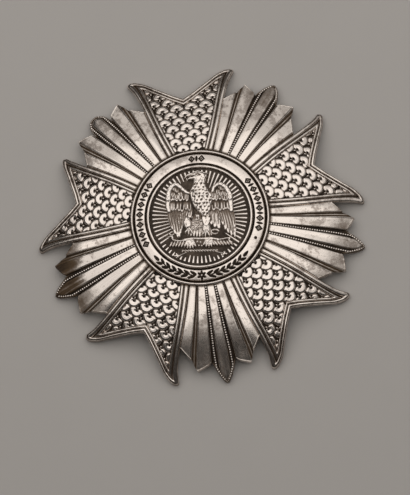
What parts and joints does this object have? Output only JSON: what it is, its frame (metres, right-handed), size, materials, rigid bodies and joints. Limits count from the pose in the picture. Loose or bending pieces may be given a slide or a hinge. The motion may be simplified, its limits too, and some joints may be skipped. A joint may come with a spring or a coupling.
{
  "type": "breast star of an order",
  "caption": "Domed silver breast star with forked scale-covered arms, ray bundles between them, a bezel ring and an eagle medallion, with a brooch pin on its hollow back.",
  "frame": {"origin": "the star's middle, on the surface that its points rest on", "axes": "+Z out of the star's face, +Y up the eagle, +X to the right of the face"},
  "size_m": [0.0901, 0.0893, 0.0129],
  "materials": {
    "star_silver": "old silver, bright on the crests, with dark brown patina in every groove and recess",
    "ring_silver": "smooth silver with dark grooves beside its two fillets",
    "medallion_silver": "cast silver, bright on the relief, with dark brown patina round it",
    "pin_silver": "plain drawn silver wire"
  },
  "bodies": {
    "root": {"star": "star_silver", "bezel_ring": "ring_silver", "medallion": "medallion_silver", "brooch_pin": "pin_silver"}
  },
  "joints": []
}
